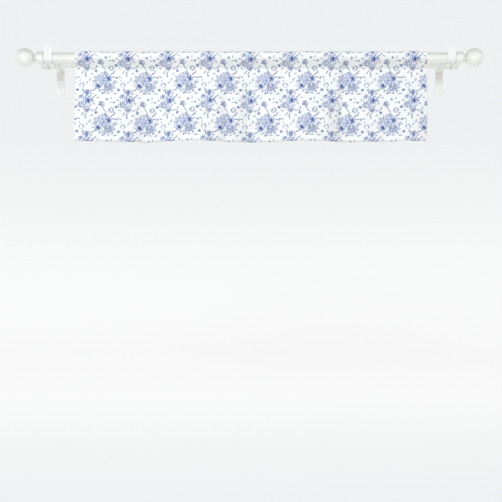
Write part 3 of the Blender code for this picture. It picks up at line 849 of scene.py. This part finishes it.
def bloom_group():
    """A flower head with two rings of petals, drawn over what is under it."""
    sizes = {"Radius": "Float", "Petals": "Float", "Heart": "Float"}
    sockets = {**MOTIF_SOCKETS, **sizes, "Petal": "Color", "Line": "Color"}
    tree, given, result = group("bloom", sockets, {"Over": "Color"})
    place = motif_axes(tree, given)
    x, y = tree.node("ShaderNodeSeparateXYZ", {0: place}).outputs[:2]
    angle = tree.maths("ARCTAN2", y, x)
    around = tree.maths("MULTIPLY", angle, tree.maths("MULTIPLY", given["Petals"], 0.5))
    outer_lobe = tree.maths("ABSOLUTE", tree.maths("COSINE", around))
    inner_lobe = tree.maths("ABSOLUTE", tree.maths("SINE", around))
    dash_place = tree.vector("MULTIPLY", tree.vector("ADD", place, given["Centre"]), (0.30, 0.13, 0.0))
    dashes = tree.noise(dash_place, 1.0, 1.0)
    even = tree.maths("DIVIDE", tree.vector("LENGTH", place), given["Radius"])
    distance = tree.maths("MULTIPLY_ADD", tree.maths("SUBTRACT", dashes, 0.5), 0.5, even)
    outer_edge = tree.maths("MULTIPLY_ADD", outer_lobe, 0.26, 0.74)
    inner_edge = tree.maths("MULTIPLY_ADD", inner_lobe, 0.18, 0.42)
    to_edge = tree.maths("SUBTRACT", outer_edge, distance)
    cover = tree.smooth(to_edge, -0.03, 0.03)
    rim = tree.smooth(to_edge, 0.06, 0.14, 1.0, 0.0)
    to_inner = tree.maths("ABSOLUTE", tree.maths("SUBTRACT", inner_edge, distance))
    inner_rim = tree.smooth(to_inner, 0.02, 0.08, 0.9, 0.0)
    valley = tree.smooth(outer_lobe, 0.05, 0.35, 0.8, 0.0)
    past_inner = tree.smooth(distance, 0.4, 0.6)
    drawn = tree.maths("MAXIMUM", inner_rim, tree.maths("MULTIPLY", valley, past_inner))
    streaks = tree.smooth(dashes, 0.50, 0.60)
    line = tree.maths("MAXIMUM", rim, tree.maths("MAXIMUM", drawn, streaks))
    bare = tree.smooth(dashes, 0.36, 0.46, 0.8, 0.0)
    petals = tree.mix(bare, tree.mix(line, given["Petal"], given["Line"]), linear(WHITE))
    oval = tree.vector("LENGTH", tree.vector("MULTIPLY", place, (1.25, 0.85, 0.0)))
    heart_size = tree.maths("MULTIPLY", given["Heart"], given["Radius"])
    heart = tree.smooth(tree.maths("SUBTRACT", heart_size, oval), -0.5, 0.9)
    has_heart = tree.maths("GREATER_THAN", given["Heart"], 0.01)
    dark = tree.mix(tree.maths("MULTIPLY", heart, has_heart), petals, linear(DARK))
    tree.put(result.inputs["Over"], tree.mix(cover, given["Under"], dark))
    return tree.tree


def stroke_group():
    """A leaf, bud, twig or stem with pointed ends, drawn over what is under it."""
    sizes = {"Length": "Float", "Width": "Float", "Bend": "Float", "Hollow": "Float"}
    sockets = {**MOTIF_SOCKETS, **sizes, "Ink": "Color"}
    tree, given, result = group("stroke", sockets, {"Over": "Color"})
    place = motif_axes(tree, given)
    x, y = tree.node("ShaderNodeSeparateXYZ", {0: place}).outputs[:2]
    along = tree.maths("DIVIDE", x, given["Length"])
    squared = tree.maths("MULTIPLY", along, along)
    across = tree.maths("ABSOLUTE", tree.maths("MULTIPLY_ADD", squared, given["Bend"], y))
    width = tree.maths("MULTIPLY", tree.maths("SUBTRACT", 1.0, squared), given["Width"])
    cover = tree.smooth(tree.maths("SUBTRACT", width, across), -0.25, 0.35)
    share = tree.maths("DIVIDE", across, tree.maths("MAXIMUM", width, 0.1))
    inner = tree.smooth(share, 0.15, 0.75, 1.0, 0.0)
    openness = tree.maths("MULTIPLY", inner, given["Hollow"])
    ink = tree.maths("MULTIPLY", cover, tree.maths("SUBTRACT", 1.0, openness))
    tree.put(result.inputs["Over"], tree.mix(ink, given["Under"], given["Ink"]))
    return tree.tree


def add_motif(tree, motif_tree, under, point, motif):
    """One motif of the print over the colour so far; returns the new colour."""
    node = tree.node("ShaderNodeGroup", {"Under": under, "Point": point}, node_tree=motif_tree)
    node.inputs["Centre"].default_value = (motif.x, motif.y, 0.0)
    own = motif._asdict()
    for socket in node.inputs:
        value = own.get(socket.name.lower())
        if value is not None:
            socket.default_value = linear(value) if socket.type == "RGBA" else value
    node.inputs["Turn"].default_value = math.radians(-motif.turn)
    return node.outputs["Over"]


def print_group():
    """The whole print: colour of the cloth at a place of flat cloth given in metres."""
    tree, given, result = group("print", {"Cloth": "Vector"}, {"Colour": "Color"})
    corner = tuple(-offset for offset in REPEAT_CORNER)
    point = tree.vector("MULTIPLY_ADD", given["Cloth"], (1000.0, 1000.0, 0.0), (*corner, 0.0))
    wander = tree.node("ShaderNodeTexNoise", {"Vector": point, "Scale": 0.22, "Detail": 1.0})
    shift = tree.vector("SUBTRACT", wander.outputs["Color"], (0.5, 0.5, 0.5))
    point = tree.vector("ADD", point, tree.vector("MULTIPLY", shift, (1.8, 1.8, 0.0)))
    stroke, bloom = stroke_group(), bloom_group()
    colour = linear(WHITE)
    for motif in (*STROKES, *BLOOMS, *PEN_STROKES):
        colour = add_motif(tree, bloom if isinstance(motif, Bloom) else stroke, colour, point, motif)
    uneven = tree.smooth(tree.noise(point, 0.5), 0.3, 0.75, 0.0, 0.16)
    tree.put(result.inputs["Colour"], tree.mix(uneven, colour, linear(WHITE)))
    return tree.tree


def new_material(name):
    """A material with its Tree and its Principled shader."""
    made = bpy.data.materials.new(name)
    made.use_nodes = True
    return made, Tree(made.node_tree), made.node_tree.nodes["Principled BSDF"]


def weave_height(tree, cloth):
    """Height of a plain weave, its two sets of threads taking turns on top."""
    threads = tree.vector("DIVIDE", cloth, (THREAD_PITCH, THREAD_PITCH, 1.0))
    x, y = tree.node("ShaderNodeSeparateXYZ", {0: threads}).outputs[:2]
    warp = tree.maths("ABSOLUTE", tree.maths("SINE", tree.maths("MULTIPLY", x, math.pi)))
    weft = tree.maths("ABSOLUTE", tree.maths("SINE", tree.maths("MULTIPLY", y, math.pi)))
    checks = tree.node("ShaderNodeTexChecker", {"Vector": threads, "Scale": 1.0}).outputs["Fac"]
    over = tree.maths("MULTIPLY", warp, checks)
    under = tree.maths("MULTIPLY", weft, tree.maths("SUBTRACT", 1.0, checks))
    return tree.maths("ADD", over, under)


def cloth_material(name, print_tree, strength, painted_glow):
    """Plain-weave cotton; its print shows with this strength, and it glows this much as painted light
    standing in for light coming through.
    """
    made, tree, shader = new_material(name)
    cloth = tree.node("ShaderNodeUVMap", {}, uv_map="cloth").outputs[0]
    printed = tree.node("ShaderNodeGroup", {"Cloth": cloth}, node_tree=print_tree)
    slubs = tree.vector("MULTIPLY", cloth, (90.0, 900.0, 1.0))
    thread_tone = tree.smooth(tree.noise(slubs, 1.0), 0.3, 0.7, 0.97, 1.0)
    colour = tree.mix(strength, linear(WHITE), printed.outputs["Colour"])
    tone = tree.node("ShaderNodeCombineColor", {0: thread_tone, 1: thread_tone, 2: thread_tone})
    tinted = tree.node(
        "ShaderNodeMix", {0: 1.0, 6: colour, 7: tone.outputs[0]}, data_type="RGBA", blend_type="MULTIPLY"
    )
    tree.put(shader.inputs["Base Color"], tinted.outputs[2])
    creases = tree.noise(tree.vector("MULTIPLY", cloth, (60.0, 38.0, 1.0)), 1.0, 3.0)
    height = tree.maths("MULTIPLY_ADD", creases, 1.6, weave_height(tree, cloth))
    bump = tree.node("ShaderNodeBump", {"Height": height, "Strength": 0.35, "Distance": 0.0002})
    tree.put(shader.inputs["Normal"], bump.outputs[0])
    tree.put(shader.inputs["Roughness"], tree.smooth(tree.noise(slubs, 0.7), 0.2, 0.8, 0.82, 0.95))
    shader.inputs["Sheen Weight"].default_value = 0.15
    shader.inputs["Sheen Roughness"].default_value = 0.5
    shader.inputs["Specular IOR Level"].default_value = 0.25
    # Painted light: a glow of the cloth's own that stands in for light coming through it
    shader.inputs["Emission Color"].default_value = linear(WASH)
    shader.inputs["Emission Strength"].default_value = painted_glow
    return made


def thread_material():
    made, tree, shader = new_material("sewing_thread")
    place = tree.node("ShaderNodeTexCoord", {}).outputs["Object"]
    tone = tree.noise(tree.vector("MULTIPLY", place, (700.0, 700.0, 700.0)), 1.0)
    tree.put(shader.inputs["Base Color"], tree.mix(tone, linear(THREAD_DARK), linear(THREAD_LIGHT)))
    shader.inputs["Roughness"].default_value = 0.6
    shader.inputs["Sheen Weight"].default_value = 0.2
    return made


def enamel_material(name, enamel):
    """Sprayed enamel on steel: a fine orange peel, soft mottling, and dust with painted shade on what
    faces up.
    """
    made, tree, shader = new_material(name)
    place = tree.node("ShaderNodeTexCoord", {}).outputs["Object"]
    mottle = tree.noise(place, 30.0, 1.0)
    colour, shaded = linear(enamel.colour), linear(enamel.shaded)
    base = tree.mix(tree.smooth(mottle, 0.35, 0.75, 0.0, 0.12), colour, shaded)
    normal = tree.node("ShaderNodeNewGeometry", {}).outputs["Normal"]
    upward = tree.node("ShaderNodeSeparateXYZ", {0: normal}).outputs[2]
    specks = tree.smooth(tree.noise(place, 900.0), 0.3, 0.8, 0.75, 1.0)
    # Dust specks, and painted shade: the colour darkens towards the top of each part
    dust_and_top_shade = tree.maths("MULTIPLY", tree.smooth(upward, -0.1, 0.75), specks)
    tree.put(shader.inputs["Base Color"], tree.mix(dust_and_top_shade, base, shaded))
    worn = tree.smooth(mottle, 0.3, 0.8, enamel.roughness, enamel.roughness + 0.12)
    tree.put(shader.inputs["Roughness"], tree.maths("MULTIPLY_ADD", dust_and_top_shade, 0.35, worn))
    peel = tree.noise(place, 420.0, 1.0)
    bump = tree.node("ShaderNodeBump", {"Height": peel, "Strength": 0.03, "Distance": 0.0002})
    tree.put(shader.inputs["Normal"], bump.outputs[0])
    shader.inputs["Metallic"].default_value = enamel.metallic
    shader.inputs["Coat Weight"].default_value = 0.5
    shader.inputs["Coat Roughness"].default_value = 0.12
    return made


def studio_paint():
    """Matt pale paint that glows, more where it is low and behind the rods."""
    made, tree, shader = new_material("studio_paint")
    shader.inputs["Base Color"].default_value = linear(PAINT)
    shader.inputs["Roughness"].default_value = 0.9
    shader.inputs["Specular IOR Level"].default_value = 0.0
    place = tree.node("ShaderNodeTexCoord", {}).outputs["Object"]
    depth, height = tree.node("ShaderNodeSeparateXYZ", {0: place}).outputs[1:]
    low = tree.smooth(height, -1.6, 1.1, 1.0, 0.0)
    lift = tree.maths("MULTIPLY", tree.smooth(depth, -0.5, 2.2), low)
    glow = tree.mix(lift, (*PAINT_GLOW, 1.0), (*PAINT_GLOW_LOW, 1.0))
    tree.put(shader.inputs["Emission Color"], glow)
    shader.inputs["Emission Strength"].default_value = 1.0
    return made


def add_studio():
    """A pale round studio: its floor sweeps up into a far wall and that into a roof, with no corner."""
    sweep = arc((FLOOR_RADIUS, FLOOR_Z + SWEEP_RADIUS), SWEEP_RADIUS, -math.pi / 2, 0, 24)
    roof = arc((FLOOR_RADIUS, STUDIO_TOP - SWEEP_RADIUS), SWEEP_RADIUS, 0, math.pi / 2, 24)
    profile = [(0.0, FLOOR_Z), *sweep, *roof, (0.0, STUDIO_TOP)]
    bm = bmesh.new()
    verts = [bm.verts.new((radius, 0, z)) for radius, z in profile]
    edges = [bm.edges.new(pair) for pair in zip(verts, verts[1:])]
    bmesh.ops.spin(
        bm, geom=verts + edges, cent=(0, 0, 0), axis=(0, 0, 1), angle=2 * math.pi, steps=96, use_merge=True
    )
    bmesh.ops.remove_doubles(bm, verts=bm.verts, dist=1e-5)
    data = bpy.data.meshes.new("studio")
    bm.to_mesh(data)
    bm.free()
    data.shade_smooth()
    data.materials.append(studio_paint())
    studio = bpy.data.objects.new("studio", data)
    bpy.context.scene.collection.objects.link(studio)
    studio.visible_diffuse = False
    studio.visible_shadow = False


def aim(obj, target):
    away = Vector(target) - obj.location
    obj.rotation_euler = away.to_track_quat("-Z", "Y").to_euler()


def add_key():
    """One soft square lamp, far in front and a little to the left."""
    key = bpy.data.lights.new("key", "AREA")
    key.shape = "SQUARE"
    key.size = KEY_SIZE
    key.energy = KEY_POWER
    obj = bpy.data.objects.new("key", key)
    obj.location = KEY_PLACE
    obj.visible_glossy = False
    obj.visible_camera = False
    bpy.context.scene.collection.objects.link(obj)
    aim(obj, KEY_AIM)


def add_room_light():
    """The light from all round: darker from above and below, brighter from low behind."""
    world = bpy.data.worlds.new("room")
    world.use_nodes = True
    tree = Tree(world.node_tree)
    direction = tree.node("ShaderNodeTexCoord", {}).outputs["Generated"]
    depth, height = tree.node("ShaderNodeSeparateXYZ", {0: direction}).outputs[1:]
    level = tree.mix(tree.smooth(height, -0.6, 0.1), (*LIGHT_BELOW, 1.0), (*LIGHT_ROUND, 1.0))
    behind = tree.maths(
        "MULTIPLY", tree.smooth(depth, 0.3, 0.8), tree.smooth(height, -0.2, 0.15, 1.0, 0.0)
    )
    filled = tree.mix(behind, level, (*LIGHT_BEHIND, 1.0))
    sky = tree.mix(tree.smooth(height, 0.15, 0.8), filled, (*LIGHT_ABOVE, 1.0))
    tree.put(world.node_tree.nodes["Background"].inputs["Color"], sky)
    bpy.context.scene.world = world


def add_camera():
    data = bpy.data.cameras.new("photo")
    data.lens = LENS
    data.sensor_width = SENSOR
    obj = bpy.data.objects.new("photo", data)
    obj.location = CAMERA_PLACE
    obj.rotation_euler = (math.pi / 2, 0, 0)
    bpy.context.scene.collection.objects.link(obj)
    bpy.context.scene.camera = obj
    bpy.context.scene.view_settings.view_transform = "Standard"


def main():
    add_camera()
    add_studio()
    add_key()
    add_room_light()
    print_tree = print_group()
    printed = cloth_material("printed_cotton", print_tree, 1.0, 0.0)
    reverse = cloth_material("cotton_reverse", print_tree, REVERSE_PRINT, REVERSE_GLOW)
    cloth = build_cloth(printed, reverse)
    stitching = build_stitching(thread_material())
    ivory = enamel_material("ivory_enamel_coat", IVORY_ENAMEL)
    white = enamel_material("white_enamel_coat", WHITE_ENAMEL)
    for side in ("left", "right"):
        build_turned(f"finial_{side}", finial_profile(), FINIAL_START_X, ivory)
        build_turned(f"end_cap_{side}", cap_profile(), CAP_START_X, ivory)
    for name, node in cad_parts.items():
        node.data.materials.clear()
        node.data.materials.append(white if name.startswith("front_cup") else ivory)


main()
